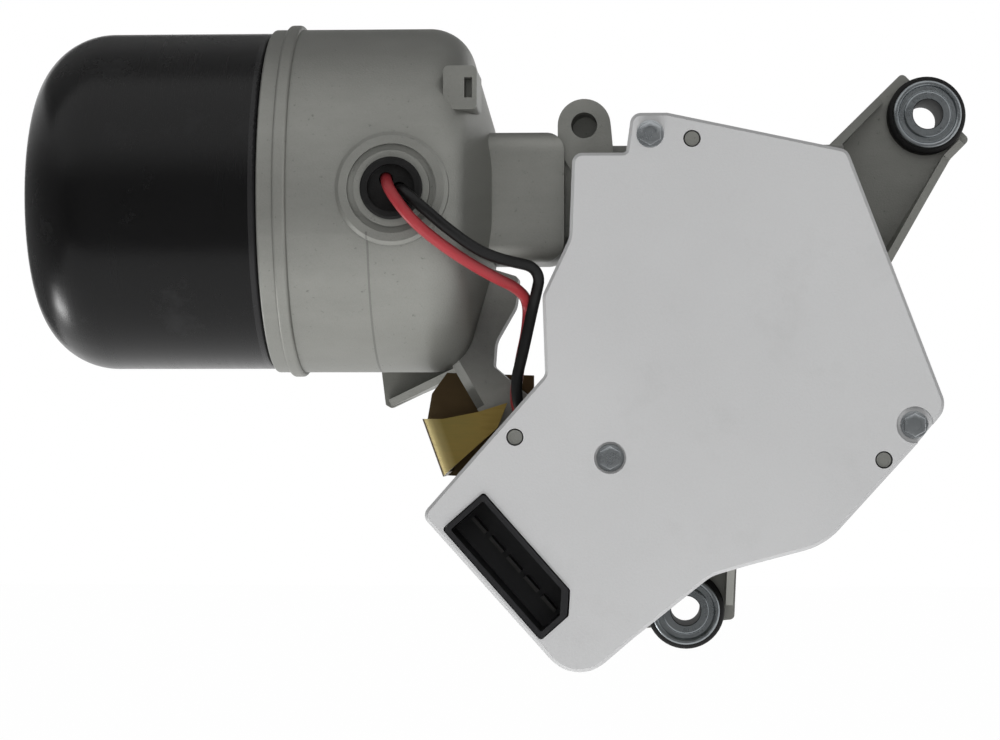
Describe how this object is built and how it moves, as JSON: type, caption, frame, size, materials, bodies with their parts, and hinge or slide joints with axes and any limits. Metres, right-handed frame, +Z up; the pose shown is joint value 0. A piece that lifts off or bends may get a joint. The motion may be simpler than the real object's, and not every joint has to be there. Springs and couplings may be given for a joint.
{
  "type": "wiper motor",
  "caption": "Windscreen wiper motor: black round motor case, die-cast gearbox with a pale cover, worm gear, crank arm with ball stud, and rubber-bushed mounting feet.",
  "frame": {"origin": "on the output shaft's axis, in the plane of the mounting sleeves' back ends, which meet the cowl", "axes": "+X along the motor from its closed end to the gearbox, +Y into the cowl along the output shaft, +Z up; the cover faces -Y"},
  "size_m": [0.2154, 0.1236, 0.1447],
  "materials": {
    "case_black": "semi-gloss black enamel on drawn steel",
    "cast_alloy": "as-cast die-cast alloy, matt warm grey",
    "cover_plastic": "pale grey moulded plastic, fine texture",
    "black_plastic": "black moulded plastic",
    "black_rubber": "moulded rubber",
    "gasket": "sheet gasket",
    "zinc_steel": "bright blue zinc plate",
    "yellow_zinc": "yellow zinc chromate",
    "bare_steel": "ground steel",
    "laminations": "stacked electrical steel",
    "copper": "enamelled copper",
    "brass": "bright brass",
    "bronze": "sintered oil-filled bronze",
    "magnet": "sintered ferrite, dark grey",
    "carbon": "pressed carbon and copper",
    "gear_plastic": "natural acetal, greased teeth",
    "insulation": "phenolic board",
    "red_pvc": "red PVC insulation",
    "black_pvc": "black PVC insulation"
  },
  "bodies": {
    "root": {"motor_case": "case_black", "field_magnets": "magnet", "magnet_clips": "bare_steel", "rear_bearing": "bronze", "gear_housing": "cast_alloy", "cover_gasket": "gasket", "housing_cover": "cover_plastic", "cover_screws": "zinc_steel", "neck_bearing": "bronze", "end_bearing": "bronze", "brush_plate": "insulation", "brush_holders": "brass", "brushes": "carbon", "brush_springs": "bare_steel", "connector_housing": "black_plastic", "connector_terminals": "brass", "terminal_board": "insulation", "board_screws": "zinc_steel", "park_switch_contacts": "brass", "lead_grommet": "black_rubber", "red_lead": "red_pvc", "black_lead": "black_pvc", "lead_terminals": "brass", "mount_sleeves": "zinc_steel", "mount_grommets": "black_rubber", "output_bushings": "bronze", "shaft_seal": "black_rubber", "thrust_screw": "zinc_steel", "thrust_locknut": "zinc_steel", "guard_bracket": "yellow_zinc", "bracket_screw": "zinc_steel"},
    "armature": {"armature_shaft": "bare_steel", "armature_core": "laminations", "core_insulators": "insulation", "armature_windings": "copper", "commutator": "copper"},
    "crank": {"output_shaft": "bare_steel", "worm_wheel": "gear_plastic", "wheel_hub": "bare_steel", "park_contact_disc": "brass", "thrust_washer": "bare_steel", "retaining_ring": "bare_steel", "crank_arm": "yellow_zinc", "lock_washer": "zinc_steel", "crank_nut": "zinc_steel", "ball_stud": "zinc_steel"}
  },
  "joints": [
    {"name": "crank_spin", "type": "hinge", "parent": "root", "child": "crank", "pos_m": [0, 0, 0], "axis": [0, 1, 0], "continuous": true},
    {"name": "armature_spin", "type": "hinge", "parent": "root", "child": "armature", "pos_m": [0, -0.056, 0.0335], "axis": [1, 0, 0], "continuous": true}
  ],
  "couplings": [
    {"joint": "armature_spin", "follows": "crank_spin", "ratio": -44}
  ]
}
